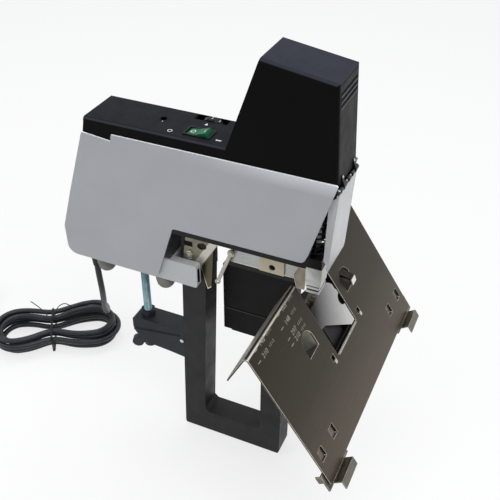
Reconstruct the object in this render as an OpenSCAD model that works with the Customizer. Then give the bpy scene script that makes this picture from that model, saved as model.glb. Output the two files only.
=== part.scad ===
// Electric saddle stapler for the edge of a bench, with a screw clamp and a tilting paper table.
// Millimetres, +Z up, +X towards the stapling nose, near side at -Y, floor at Z 0.

/* [Body] */
// Width over the two side covers
body_w = 50; // [46:1:56]
// Thickness of the painted side covers
cover_t = 1.5; // [1:0.1:2]
// Height of the covers' top edge above the floor
cover_top = 344; // [342:1:346]
// Wall of the black top moulding
mould_t = 2.2; // [1.8:0.1:2.6]
// Radius of the rubber feet
foot_r = 9.2; // [7:0.2:10]

/* [Throat frame] */
// Thickness of the casting across the machine
frame_w = 23.6; // [20:0.2:26]
// Height of the bar that joins the two posts
bar_h = 29; // [24:1:34]
// Depth of the black drive housing on the far side
housing_d = 28; // [22:1:32]

/* [Clamp] */
// Clamp screw diameter
screw_d = 8; // [6:0.5:10]
// Pressure pad diameter
pad_d = 24; // [18:1:30]
// Reach of the clamp knob's wings
knob_r = 19; // [15:0.5:21]

/* [Table] */
// Width of the paper table across the machine
table_w = 242; // [236:2:256]
// Length of the table down its slope
table_l = 134; // [130:1:140]
// Sheet thickness of the table
table_t = 1.5; // [1:0.1:2]
// Slope of the table as photographed
slope = 55.7; // [52:0.1:58]
// Diameter of the pivot rod
pivot_d = 6; // [4:0.5:7]
// Length of a paper stop across the machine
stop_w = 28; // [22:1:34]

/* [Driver] */
// Solenoid plunger diameter
plunger_d = 16; // [12:1:18]
// Width of the driver blade
blade_w = 12; // [9:0.5:13]
// Travel of the driver
stroke = 10; // [6:0.5:11]

/* [Controls] */
// Radius of the force dial
dial_r = 13.5; // [11:0.5:14]
// Width of the force dial
dial_w = 7; // [4:0.5:7.4]

/* [Cord] */
// Outer diameter of the mains cord
cord_d = 6.2; // [5.4:0.1:6.4]

/* [Hidden] */

// Clearances
run = 0.05;
gap = 0.3;

// Widths worked out from the body
cover_in = body_w / 2 - cover_t;
rib_t = 2;
inner_y = cover_in - rib_t;
mould_y = cover_in;
frame_y = frame_w / 2;

// Heights of the body
chassis_top = cover_top - 3;
notch_z = cover_top - 6.5;
notch_x = -96;
throat_z = 264;
floor_z = 258;
base_z = 204.7;
pan_z = 202;
panel_z = cover_top + 10.3;
foot_h = 14;

// Tower of the top moulding
tower_lean = 19.4;
tower_back = 10.2;
tower_high = 433;
tower_top_x = tower_back + (tower_high - panel_z) * tan(tower_lean);
tower_drop = 8.7;
front_lean = 3;
tower_front = 102.8;
edge_r = 3;

// Nose and driver
nose_x = 76;
nose_l = 14.5;
nose_y = 8;
nose_tip = 221.5;
nose_top = 248.5;
drive_x = nose_x + 7;
blade_t = 1;
blade_top = 304;
pin_z = blade_top - 3;
blade_tip = nose_tip + stroke + 1.5;
plunger_r = plunger_d / 2;
plunger_low = 297;
plunger_high = 384;
collar_r = plunger_r + 3;
yoke_low = 318;
yoke_high = 402;
coil_r = 13;
spring_r = collar_r - 1.6;
spring_wire = 0.8;

// Table plane, pivot and level position
ridge_x = 70.7;
ridge_z = 240;
level_z = 213;
pivot_drop = 15;
pivot_r = pivot_d / 2;
pivot_z = level_z - pivot_drop;
pivot_x = ridge_x + (cos(slope) * (ridge_z - pivot_z) - pivot_drop) / sin(slope);
flange_l = 35;
bend_r = 3;
flange_fall = 62.6;
cut_near = body_w / 2 - 1.6;
cut_y = body_w / 2 + 2.5;
cut_l = 79;
strap_y = [table_w / 2 - 37, table_w / 2 - 11];
strap_x = table_l - 28;
stop_y = table_w / 2 - 5;
lug_t = 4;
lug_y = cut_y + 1;
rod_y = lug_y + lug_t + 4;

// Anvil arm of the casting, kept this far below the table plane
arm_gap = 7.5;
anvil_x = nose_x + 1;
anvil_l = 8;
arm_top = level_z - 7;

// Clamp
clamp_x = -91;
screw_r = screw_d / 2;
bracket_top = 131;
pad_top = 198;
pad_h = 4.5;
knob_z = 88;
knob_h = 12;
knob_turn = 20;

// Magazine
rail_y = 7;
rail_t = 1.2;
rail_x = 5;
rail_z = 231.2;
slot_z = 249;
latch_z = 246;

// Panel controls
rocker_x = -20;
rocker_y = -9;
rocker_l = 20.4;
rocker_w = 10.6;
rocker_pivot = panel_z - 3.3;
dial_x = -21;
dial_y = inner_y - 9;
dial_z = panel_z + 1 - dial_r;

// Finger guard
guard_pin_x = 103.6;
guard_pin_z = 337.6;
guard_fall = 79;
guard_back = 5;
guard_y = cover_in - 2;
guard_t = 1.8;

// Cord and hank
cord_r = cord_d / 2;
gland_x = -146;
gland_low = 176;
hank_at = [-251.5, 42.5];
hank_turn = 32.4;
hank_half = 65;
hank_wide = 21.5;
hank_waist = 10;
waist_at = -4;
waist_len = 22;
lane = cord_d + 1.8;
layer = cord_d + 0.8;
layer_low = cord_r + 1.5;
hank_start = 0.325;
hank_turns = 5.15;
hank_arc = 0.26;
loop_rings = 24;
cord_points = [
  [-146, 0, 176], [-146, 0, 168], [-146, 1, 154], [-147.5, 4, 138], [-155, 14, 114], [-168, 31, 88],
  [-184, 55, 58], [-197, 74, 41.5], [-206.1, 85.3, 33.6], [-213.9, 91.5, 30], [-223.7, 93.8, 27.4], [-233, 91.2, 26]
];
tail_points = [[-58, 31.6, 4.6], [-70, 37.5, 5.2], [-79.5, 47, 6.4], [-86, 59, 7.4], [-90, 70, 7.6]];

// Helpers

// Extrudes an outline drawn in X and Z from y0 to y1
module across(y0, y1) {
  translate([0, y1, 0]) rotate([90, 0, 0]) linear_extrude(height = y1 - y0) children();
}

// Extrudes an outline drawn in Y and Z from x0 to x1
module along(x0, x1) {
  translate([x0, 0, 0]) rotate([90, 0, 90]) linear_extrude(height = x1 - x0) children();
}

module rod_across(x, z, y0, y1, r) {
  translate([x, y0, z]) rotate([-90, 0, 0]) cylinder(h = y1 - y0, r = r, $fn = 48);
}

module rod_along(y, z, x0, x1, r) {
  translate([x0, y, z]) rotate([0, 90, 0]) cylinder(h = x1 - x0, r = r, $fn = 48);
}

module box(x0, x1, y0, y1, z0, z1) {
  translate([x0, y0, z0]) cube([x1 - x0, y1 - y0, z1 - z0]);
}

// Local frame of the table: X down the slope from the ridge, Z out of the sheet
module on_table() {
  translate([ridge_x, 0, ridge_z]) rotate([0, slope, 0]) children();
}

function arc(c, r, a0, a1, n = 6) =
  [for (i = [0:n]) let (a = a0 + (a1 - a0) * i / n) [c[0] + r * cos(a), c[1] + r * sin(a)]];

function unit(v) = v / norm(v);

function heading(p, i) =
  i == 0 ? unit(p[1] - p[0])
  : i == len(p) - 1 ? unit(p[i] - p[i - 1])
  : unit(unit(p[i + 1] - p[i]) + unit(p[i] - p[i - 1]));

function side_of(n, t) = unit(n - (n * t) * t);

function sides(p, n, i = 0) =
  i == len(p) ? [] : let (m = side_of(n, heading(p, i))) concat([m], sides(p, m, i + 1));

// Points of a smooth route through the points p, with k steps between each pair
function smooth(p, k) = concat(
  [for (i = [0:len(p) - 2], j = [0:k - 1])
    let (
      u = j / k,
      a = p[max(i - 1, 0)], b = p[i], c = p[i + 1], d = p[min(i + 2, len(p) - 1)]
    )
    b + u * (c - a) / 2 + u * u * (a - 2.5 * b + 2 * c - d / 2) + u * u * u * (1.5 * (b - c) + (d - a) / 2)],
  [p[len(p) - 1]]);

// One closed tube along the points p, with m sides
module tube(p, r, m, n0 = [0, 1, 0]) {
  n = sides(p, n0);
  rings = len(p);
  points = [for (i = [0:rings - 1], k = [0:m - 1])
    let (t = heading(p, i), b = cross(t, n[i]), a = 360 * k / m)
    p[i] + r * (cos(a) * n[i] + sin(a) * b)];
  walls = [for (i = [0:rings - 2], k = [0:m - 1], h = [0, 1])
    let (a = i * m + k, b = i * m + (k + 1) % m)
    h == 0 ? [a, a + m, b + m] : [a, b + m, b]];
  low_end = [for (k = [1:m - 2]) [0, k, k + 1]];
  top = (rings - 1) * m;
  high_end = [for (k = [1:m - 2]) [top, top + k + 1, top + k]];
  polyhedron(points = points, faces = concat(walls, low_end, high_end));
}

// Side covers

module cover_outline() {
  polygon(concat(
    arc([-148, base_z + 10], 10, 190, 270),
    [[-63, base_z], [-60.6, 206.5], [-43.2, 260.3]],
    arc([-39.4, throat_z - 4], 4, 162, 90, 4),
    arc([75.4, throat_z + 6], 6, 270, 345, 4),
    [[82.8, 272.4], [103.8, cover_top - 1], [102.8, cover_top], [notch_x + 1, cover_top], [notch_x, notch_z],
     [-124, notch_z + 3], [-125.2, notch_z + 1.5], [-145.5, 277], [-158.3, 235.5]]));
}

module near_cover() {
  color([0.6, 0.61, 0.62]) across(-body_w / 2, -cover_in) cover_outline();
}

module far_cover() {
  color([0.6, 0.61, 0.62]) across(cover_in, body_w / 2) cover_outline();
}

module rear_panel() {
  color([0.55, 0.56, 0.57]) across(-inner_y, inner_y)
    polygon([[-122.8, 331], [-143, 277], [-155.6, 236], [-155.4, 222], [-153.5, 222], [-153.7, 235.8],
             [-141.1, 276.6], [-121, 331]]);
}

// Inner frame

module chassis_side() {
  polygon([[-63, 208], [-46, floor_z], [81, floor_z], [84.4, 275], [98, chassis_top], [notch_x - 2, chassis_top],
           [notch_x - 2, chassis_top - 7], [-123, chassis_top - 7], [-143.2, 277], [-155.8, 236], [-155.8, 222],
           [-147, 208]]);
}

module chassis() {
  color([0.08, 0.08, 0.09]) difference() {
    union() {
      across(-cover_in, -inner_y) chassis_side();
      across(inner_y, cover_in) chassis_side();
      box(-42, 77, -inner_y, inner_y, floor_z, floor_z + 2);
      box(70, nose_x + nose_l, -collar_r, collar_r, floor_z, floor_z + 2);
      box(nose_x + 0.2, nose_x + nose_l, -nose_y - 1, nose_y + 1, nose_top, floor_z);
      box(60, 90, -inner_y, inner_y, yoke_low - 4, yoke_low);
      box(-112, -108, -inner_y, inner_y, 312, 316);
      box(-52, -48, -inner_y, inner_y, 312, 316);
      across(-inner_y, inner_y) polygon([[77, floor_z], [81, 275], [86, 295], [84, 295], [79, 275], [75, floor_z]]);
    }
    translate([drive_x, 0, floor_z + 2]) cylinder(h = yoke_low - floor_z, r = collar_r + 1, $fn = 64);
    box(drive_x - 1.2, drive_x + 1.2, -blade_w / 2 - 0.3, blade_w / 2 + 0.3, nose_top - 1, floor_z + 3);
  }
}

// Black top moulding with the control panel and the tower

module tower_outline(t) {
  top_x = tower_top_x + t * 0.8;
  front = tower_front - t;
  nose = front - (tower_high - chassis_top) * tan(front_lean) * 0.87;
  polygon([[-122 + t, chassis_top - 11 - 9 * t], [-122 + t, panel_z - t], [tower_back - t * 0.7, panel_z - t],
           [top_x, tower_high - t], [nose, tower_high - t - (nose - top_x) * tan(tower_drop)],
           [front, chassis_top], [front, chassis_top - 11 - 9 * t]]);
}

// Outline across the machine with its two upper edges rounded
module crown(w, top, low, r) {
  polygon(concat([[-w, low], [w, low]], arc([w - r, top - r], r, 0, 90, 8), arc([r - w, top - r], r, 90, 180, 8)));
}

// The tower alone: leaning back wall, sloping crown and a front wall with rounded corners
module tower() {
  lean_low = tower_back - (panel_z - chassis_top) * tan(tower_lean);
  intersection() {
    across(-mould_y, mould_y)
      polygon([[lean_low, chassis_top], [tower_front + 1, chassis_top], [tower_front + 1, tower_high + 27],
               [tower_back + (tower_high + 27 - panel_z) * tan(tower_lean), tower_high + 27]]);
    translate([tower_top_x, 0, tower_high]) rotate([0, tower_drop, 0])
      along(-90, 90) crown(mould_y, 0, -170, edge_r);
    translate([tower_front, 0, chassis_top]) rotate([0, -front_lean, 0]) translate([0, 0, -20])
      linear_extrude(height = 160)
        polygon(concat([[-150, mould_y], [-150, -mould_y]], arc([-edge_r, edge_r - mould_y], edge_r, 270, 360, 8),
                       arc([-edge_r, mould_y - edge_r], edge_r, 0, 90, 8)));
  }
}

module top_cover() {
  color([0.1, 0.1, 0.11]) difference() {
    union() {
      along(-122, notch_x - 2) crown(mould_y, panel_z, chassis_top - 7, edge_r);
      across(-mould_y, mould_y) polygon([[-121, panel_z - edge_r - 1], [-122, panel_z - edge_r - 1],
                                         [-125, chassis_top - 5.6], [-121, chassis_top - 5.6]]);
      along(notch_x - 3, tower_back + 12) crown(mould_y, panel_z, chassis_top, edge_r);
      tower();
    }
    difference() {
      across(-mould_y + mould_t, mould_y - mould_t) tower_outline(mould_t);
      box(dial_x - 6, dial_x + 6, dial_y - 3.5, dial_y - 1.5, dial_z - 5, panel_z);
    }
    box(rocker_x - 11, rocker_x + 11, rocker_y - 6.5, rocker_y + 6.5, panel_z - 10, panel_z + 10);
    box(dial_x - 15, dial_x + 15, dial_y - 0.6, dial_y + 8, panel_z - 3.2, panel_z + 10);
    translate([-58.8, 1.3, panel_z - 10]) cylinder(h = 20, r = 3.2, $fn = 48);
    rod_across(dial_x, dial_z, dial_y - 4, dial_y, 2);
    for (i = [1:3]) box(80, 120, -19, 19, tower_high - 14.6 - 4.6 * i, tower_high - 12.8 - 4.6 * i);
  }
}

// Pale base moulding, open on top, split at the front round the casting

module base_pan() {
  color([0.8, 0.8, 0.78]) difference() {
    across(-inner_y, inner_y)
      polygon(concat(
        arc([-146, pan_z + 7.5], 7.5, 180, 270), arc([-24.5, pan_z + 2.5], 2.5, 270, 360),
        arc([-24.5, 223.5], 2.5, 0, 90), [[-153.5, 224]]));
    box(-151.3, -50, -inner_y + 2, inner_y - 2, pan_z + 2.5, 240);
    box(-48, 0, -frame_y - 2, frame_y + 2, 180, 240);
    for (s = [-1, 1]) box(-46, -20, s > 0 ? frame_y + 3.6 : 1.6 - inner_y, s > 0 ? inner_y - 1.6 : -frame_y - 3.6,
                          pan_z + 1.8, 222);
    translate([gland_x, 0, 190]) cylinder(h = 30, r = 4.6, $fn = 48);
  }
}

module rubber_feet() {
  color([0.42, 0.42, 0.4]) for (x = [-124.5, -60], s = [-1, 1])
    translate([x, s * (inner_y - foot_r), pan_z - foot_h]) rotate_extrude($fn = 48)
      polygon([[0, 0], [foot_r - 3, 0], [foot_r - 1.2, 2.5], [foot_r, 8], [foot_r, foot_h], [0, foot_h]]);
}

module base_screws() {
  color([0.6, 0.6, 0.62]) for (x = [-110, -75], s = [-1, 1])
    translate([x, s * (inner_y - 5), pan_z - 2]) cylinder(h = 2, r = 3.2, $fn = 32);
}

// Controls

module rocker_bezel() {
  color([0.06, 0.06, 0.06]) difference() {
    union() {
      box(rocker_x - 12, rocker_x + 12, rocker_y - 7.4, rocker_y + 7.4, panel_z, panel_z + 0.9);
      box(rocker_x - 11, rocker_x + 11, rocker_y - 6.5, rocker_y + 6.5, panel_z - 20, panel_z);
    }
    box(rocker_x - 10.5, rocker_x + 10.5, rocker_y - 5.6, rocker_y + 5.6, panel_z - 17, panel_z + 5);
    rod_across(rocker_x, rocker_pivot, rocker_y - 6.2, rocker_y + 6.2, 1.5 + run);
  }
}

module rocker() {
  color([0.04, 0.43, 0.3]) {
    translate([rocker_x, 0, rocker_pivot]) across(rocker_y - rocker_w / 2, rocker_y + rocker_w / 2)
      intersection() {
        circle(r = rocker_l / 2, $fn = 96);
        polygon([[-12, 3], [-1, 4.2], [12, 8.6], [12, -3], [0, -5], [-12, -7]]);
      }
    rod_across(rocker_x, rocker_pivot, rocker_y - 6, rocker_y + 6, 1.5);
  }
}

module dial_wheel() {
  color([0.07, 0.07, 0.07]) difference() {
    rod_across(dial_x, dial_z, dial_y, dial_y + dial_w, dial_r);
    rod_across(dial_x, dial_z, dial_y - 1, dial_y + dial_w + 1, 2 + run);
    for (i = [0:17]) translate([dial_x, 0, dial_z]) rotate([0, 20 * i, 0])
      box(dial_r - 0.7, dial_r + 2, dial_y - 1, dial_y + 1.6, -0.8, 0.8);
  }
}

module dial_axle() {
  color([0.7, 0.7, 0.72]) rod_across(dial_x, dial_z, dial_y - 3.5, mould_y - mould_t, 2);
}

module circuit_board() {
  color([0.1, 0.35, 0.2]) {
    box(-114, -44, -inner_y + 1, inner_y - 1, 316, 317.6);
    box(-104, -90, -10, 4, 317.6, 327);
    box(-80, -72, -14, -6, 317.6, 323);
    translate([-62, 6, 317.6]) cylinder(h = 9, r = 5, $fn = 32);
  }
}

module transformer() {
  color([0.3, 0.28, 0.26]) {
    box(-128, -92, -15, 15, pan_z + 2.5, 234);
    box(-122, -98, -17, 17, 210, 230);
  }
}

// Casting with the two posts and the anvil arm

// Back and front faces of the rear post lean a little
function post_back(z) = -48.5 + 0.03 * (z - 5);
function post_front(z) = -24.5 + 0.036 * (z - bar_h);

// X of the anvil arm's front face, parallel to the table
function arm_front(z) = ridge_x + (cos(slope) * (ridge_z - z) - arm_gap) / sin(slope);

module throat_frame() {
  color([0.2, 0.2, 0.2]) difference() {
    across(-frame_y, frame_y) difference() {
      polygon(concat(
        arc([-43.5, 5], 5, 180, 270), arc([53, 6], 6, 270, 360),
        [[59.5, 108], [arm_front(160) - 6, 152], [arm_front(160), 160], [arm_front(198), 198], [85, arm_top],
         [70, arm_top], [38, 158], [37.5, bar_h + 4], [33.5, bar_h], [-20.5, bar_h], [-24.5, bar_h + 4],
         [post_front(floor_z), floor_z], [post_back(floor_z), floor_z]]));
      translate([pivot_x, pivot_z]) circle(r = pivot_r, $fn = 48);
    }
    for (s = [-1, 1]) translate([0, s * frame_y, 0]) rotate([s * 45, 0, 0])
      box(-60, 70, -1.4, 1.4, -1.4, 1.4);
  }
}

module anvil() {
  color([0.75, 0.75, 0.76]) difference() {
    box(anvil_x, anvil_x + anvil_l, -8, 8, arm_top, level_z);
    for (s = [-1, 1]) translate([drive_x - 1.6, s * 3.6, level_z + 1.2]) rotate([0, 90, 0])
      cylinder(h = 3.2, r = 2.4, $fn = 32);
  }
}

// Bright crowned sheet that carries the fold, seen in the table's cut-out
module saddle_cap() {
  reach = cut_y - 0.9;
  crown_r = 200;
  color([0.82, 0.82, 0.82]) on_table() {
    intersection() {
      translate([0, reach, -crown_r - 0.8]) rotate([0, 90, 0]) difference() {
        cylinder(h = 100, r = crown_r, $fn = 180);
        translate([0, 0, -1]) cylinder(h = 102, r = crown_r - 1.2, $fn = 180);
      }
      translate([0, 0, -30]) linear_extrude(height = 40) difference() {
        polygon([[34, 1 - cut_near], [34, 14], [37, 22], [43, reach], [cut_l - 1.2, reach], [cut_l - 1.2, 19],
                 [55, -11], [54.5, 1 - cut_near]]);
        translate([53, reach]) circle(r = 6, $fn = 48);
      }
    }
    for (x = [44, 62]) translate([x, 6, -arm_gap]) cylinder(h = arm_gap - 2.3, r = 3, $fn = 32);
  }
}

// Dark wings on the arm that close the cut-out under the cap, with a wall at the far side and at the lower end
module saddle_wings() {
  low = -arm_gap - 4;
  top = -2.8;
  near = 1.5 - cut_near;
  far = cut_y - 1.5;
  color([0.12, 0.12, 0.13]) on_table() {
    box(28, cut_l - 1, near, -frame_y, low, low + 1.6);
    box(28, cut_l - 1, frame_y, far, low, low + 1.6);
    box(34, cut_l - 1, far - 1.2, far, low, top);
    box(cut_l - 2.2, cut_l - 1, near, -frame_y, low, top);
    box(cut_l - 2.2, cut_l - 1, -frame_y - 1, frame_y + 1, -arm_gap, top);
    box(cut_l - 2.2, cut_l - 1, frame_y, far, low, top);
  }
}

module table_buffer() {
  color([0.08, 0.08, 0.08]) on_table()
    box(cut_l + 3, cut_l + 9, -7, 7, -arm_gap, -table_t - gap);
}

// Black housing behind the throat, with its lower lid

module housing_plan(r) {
  x0 = -12;
  x1 = 37;
  far = frame_y + housing_d;
  translate([x0, frame_y]) square([x1 - x0, housing_d - r]);
  translate([x0 + r, frame_y]) square([x1 - x0 - 2 * r, housing_d]);
  for (x = [x0 + r, x1 - r]) translate([x, far - r]) circle(r = r, $fn = 32);
  translate([x1 - r, frame_y]) square([25 + r, 12]);
}

module drive_housing() {
  color([0.09, 0.09, 0.1]) translate([0, 0, 160]) linear_extrude(height = 50.5) housing_plan(4);
}

module housing_base() {
  color([0.09, 0.09, 0.1]) difference() {
    translate([0, 0, 131]) linear_extrude(height = 29) housing_plan(4);
    box(-20, -4, 0, 80, 130, 132.2);
    box(-20, 36.5, 0, frame_y + 0.8, 158.8, 161);
  }
}

module housing_screws() {
  color([0.5, 0.5, 0.52]) for (x = [-5, 30], z = [140, 200])
    translate([0, frame_y + housing_d, 0]) rod_across(x, z, 0, 1.8, 3);
}

// Clamp

module clamp_bracket() {
  color([0.25, 0.28, 0.3]) difference() {
    across(-frame_y, frame_y)
      polygon([[post_back(98), 98], [-62, 100], [-88, 102], [-99.5, 111], [-104, 117], [-104, 128], [-101, bracket_top],
               [post_back(bracket_top), bracket_top]]);
    translate([clamp_x, 0, 80]) cylinder(h = 90, r = screw_r + 2.5, $fn = 48);
    for (s = [-1, 1]) across(s * frame_y - 1.2, s * frame_y + 1.2)
      polygon([[-110, 115], [post_back(124) - 4, 124], [post_back(124) - 4, 140], [-110, 140]]);
  }
}

module bracket_pins() {
  color([0.8, 0.8, 0.82]) for (s = [-1, 1])
    rod_across(-47.2, 120, s > 0 ? frame_y : -frame_y - 1, s > 0 ? frame_y + 1 : -frame_y, 2);
}

module clamp_nut() {
  color([0.5, 0.55, 0.58]) translate([clamp_x, 0, 0]) difference() {
    union() {
      translate([0, 0, 106]) cylinder(h = bracket_top - 106, r = screw_r + 2.5, $fn = 48);
      translate([0, 0, bracket_top]) cylinder(h = 6.5, r = screw_r + 3.5, $fn = 6);
    }
    translate([0, 0, 100]) cylinder(h = 80, r = screw_r + run, $fn = 48);
  }
}

module clamp_screw() {
  color([0.47, 0.57, 0.6]) translate([clamp_x, 0, knob_z + 6])
    cylinder(h = pad_top - 1.5 - knob_z - 6, r = screw_r, $fn = 48);
}

// Knob with two rounded wings
module clamp_knob() {
  wing_r = knob_h / 2;
  color([0.08, 0.08, 0.09]) translate([clamp_x, 0, knob_z]) rotate([0, 0, knob_turn]) difference() {
    union() {
      translate([0, 0, 4]) cylinder(h = knob_h - 3.5, r = screw_r + 2.5, $fn = 48);
      for (s = [-1, 1]) translate([s * (knob_r - wing_r), 0, wing_r]) {
        rod_across(0, 0, -3, 3, wing_r);
        box(s > 0 ? wing_r - knob_r : 0, s > 0 ? 0 : knob_r - wing_r, -3, 3, -1, wing_r - 0.5);
      }
    }
    translate([0, 0, 6]) cylinder(h = knob_h, r = screw_r, $fn = 48);
  }
}

module pressure_pad() {
  color([0.3, 0.3, 0.3]) translate([clamp_x, 0, pad_top - pad_h]) difference() {
    cylinder(h = pad_h, r1 = pad_d / 2 - 1.5, r2 = pad_d / 2, $fn = 64);
    translate([0, 0, -1]) cylinder(h = pad_h - 0.5 + run, r = screw_r + run, $fn = 48);
  }
}

// Magazine

module magazine_rail() {
  color([0.75, 0.76, 0.77]) difference() {
    box(rail_x, nose_x, -rail_y, rail_y, rail_z, floor_z);
    box(rail_x - 1, nose_x + 1, -rail_y + rail_t, rail_y - rail_t, rail_z + rail_t, floor_z + 1);
    box(rail_x - 1, 57, -rail_y - 1, -rail_y + rail_t + 1, slot_z - 2, slot_z + 2);
    rod_across(rail_x + 4, latch_z, -rail_y - 1, -rail_y + rail_t, 1.5);
  }
}

module staple_pusher() {
  x = 33.6;
  color([0.75, 0.7, 0.6]) difference() {
    union() {
      box(x + 4, x + 20, -rail_y + rail_t + 0.2, rail_y - rail_t - 0.2, rail_z + rail_t + 0.1, slot_z + 1.8);
      box(x + 4, x + 20, -rail_y - 1, 0, slot_z - 1.8, slot_z + 1.8);
      box(x, x + 23, -rail_y - 2.2, -rail_y - 0.2, rail_z + 0.8, slot_z + 1.8);
    }
    rod_across(x + 12, rail_z + 6.8, -rail_y - 3, -rail_y + 2, 3);
  }
}

module feed_spring() {
  color([0.6, 0.6, 0.6]) difference() {
    rod_across(66, rail_z + rail_t + gap + 4.2, -rail_y + rail_t, rail_y - rail_t, 4.2);
    rod_across(66, rail_z + rail_t + gap + 4.2, -rail_y, rail_y, 1.6);
  }
}

// Plate on the rear post, with its front corner folded out along a slanting line
module latch_plate() {
  fold_at = [-21.5, 221.5];
  fold_turn = 58.7;
  color([0.78, 0.78, 0.76]) {
    across(-frame_y - 1.5, -frame_y) difference() {
      polygon([[-40, 222], fold_at, fold_at + 34 / cos(90 - fold_turn) * [cos(fold_turn), sin(fold_turn)], [-36, 250.5]]);
      for (i = [-1, 1]) translate([-20 + 1.2 * i, 244 + 0.4 * i]) circle(r = 3.4, $fn = 32);
    }
    translate([fold_at[0], -frame_y, fold_at[1]]) rotate([0, -fold_turn, 0]) rotate([-12, 0, 0])
      across(-1.5, 0) polygon([[0, 0.4], [25, 0.4], [25, 0], [-8.4, -19.8], [-13.5, -18.2]]);
  }
}

module latch_pin() {
  color([0.7, 0.7, 0.72]) {
    rod_across(rail_x + 4, latch_z, -frame_y - 3.5, -rail_y + rail_t, 1.5);
    rod_across(rail_x + 4, latch_z, -frame_y - 4.5, -frame_y - 3.5, 2.4);
  }
}

module latch_link() {
  reach = 38;
  color([0.8, 0.8, 0.8]) translate([rail_x + 4, 0, latch_z]) rotate([0, 21, 0])
    across(-frame_y - 3.3, -frame_y - 1.7) difference() {
      union() {
        circle(r = 3.4, $fn = 32);
        translate([-1.7, -reach]) square([3.4, reach]);
        translate([0, -reach]) circle(r = 2.6, $fn = 32);
      }
      circle(r = 1.5 + run, $fn = 32);
      translate([0, -reach]) circle(r = 1.2, $fn = 32);
    }
}

// Nose and drive

module nose_block() {
  color([0.8, 0.8, 0.8]) difference() {
    union() {
      for (s = [-1, 1]) across(s > 0 ? rail_y : -nose_y, s > 0 ? nose_y : -rail_y)
        polygon([[nose_x - 7.7, nose_tip + 1], [nose_x - 11.2, 236.6], [nose_x - 7, nose_top - 3],
                 [nose_x + 0.5, nose_top - 3], [nose_x + 0.5, nose_tip + 8], [nose_x - 0.3, nose_tip + 1]]);
      box(nose_x, nose_x + nose_l, -nose_y, nose_y, 234, nose_top);
      box(nose_x + 0.6, nose_x + nose_l - 0.6, -nose_y - 0.5, nose_y + 0.5, 229.5, 234);
      box(nose_x + 2, nose_x + nose_l - 2, -nose_y + 0.8, nose_y - 0.8, nose_tip, 229.5);
      for (z = [nose_tip, nose_tip + 4.2])
        box(nose_x + 1, nose_x + nose_l - 1.5, -nose_y, nose_y, z, z + 2.2);
    }
    box(drive_x - blade_t / 2 - 0.1, drive_x + blade_t / 2 + 0.1, -blade_w / 2 - 0.1, blade_w / 2 + 0.1, 200, 270);
  }
}

module driver_blade() {
  color([0.7, 0.7, 0.7]) difference() {
    box(drive_x - blade_t / 2, drive_x + blade_t / 2, -blade_w / 2, blade_w / 2, blade_tip, blade_top);
    rod_along(0, pin_z, drive_x - 5, drive_x + 5, 1.5);
  }
}

module blade_pin() {
  color([0.6, 0.6, 0.6]) rod_along(0, pin_z, drive_x - plunger_r + 1, drive_x + plunger_r - 1, 1.5);
}

module plunger() {
  color([0.65, 0.65, 0.66]) translate([drive_x, 0, 0]) difference() {
    union() {
      translate([0, 0, plunger_low]) cylinder(h = plunger_high - plunger_low, r = plunger_r, $fn = 64);
      translate([0, 0, plunger_low]) cylinder(h = 3, r = collar_r, $fn = 64);
    }
    box(-blade_t / 2, blade_t / 2, -blade_w / 2, blade_w / 2, plunger_low - 1, blade_top);
    rod_along(0, pin_z, -plunger_r + 1, plunger_r - 1, 1.5);
  }
}

module return_spring() {
  turns = 7;
  low = floor_z + 2 + spring_wire;
  high = plunger_low - spring_wire;
  color([0.6, 0.6, 0.62]) translate([drive_x, 0, 0])
    tube([for (i = [0:turns * 10]) let (a = 36 * i)
      [spring_r * cos(a), spring_r * sin(a), low + (high - low) * i / (turns * 10)]], spring_wire, 6, [1, 0, 0]);
}

module solenoid_yoke() {
  color([0.5, 0.5, 0.5]) difference() {
    box(drive_x - 14, drive_x + 14, -coil_r - 3, coil_r + 3, yoke_low, yoke_high);
    box(drive_x - 15, drive_x + 15, -coil_r - 0.5, coil_r + 0.5, yoke_low + 3, yoke_high - 3);
    translate([drive_x, 0, yoke_low - 1]) cylinder(h = 5, r = plunger_r + 0.6, $fn = 64);
  }
}

module solenoid_coil() {
  color([0.55, 0.3, 0.12]) translate([drive_x, 0, yoke_low + 3]) difference() {
    cylinder(h = yoke_high - yoke_low - 6, r = coil_r, $fn = 64);
    translate([0, 0, -1]) cylinder(h = yoke_high - yoke_low, r = plunger_r + run, $fn = 64);
  }
}

// Clear finger guard on its pin

module guard_lugs() {
  color([0.8, 0.8, 0.82]) for (s = [-1, 1]) across(s * 14 - 1.5, s * 14 + 1.5) difference() {
    union() {
      translate([guard_pin_x, guard_pin_z]) circle(r = 2.6, $fn = 32);
      polygon([[tower_front, chassis_top + 0.5], [tower_front, chassis_top + 7], [guard_pin_x + 2.6, guard_pin_z + 2],
               [guard_pin_x + 2.4, guard_pin_z - 1], [guard_pin_x - 0.8, guard_pin_z + 2.4]]);
    }
    translate([guard_pin_x, guard_pin_z]) circle(r = 1.2, $fn = 32);
  }
}

module guard_pin() {
  color([0.7, 0.7, 0.72]) rod_across(guard_pin_x, guard_pin_z, -guard_y + 1, guard_y - 1, 1.2);
}

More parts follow.
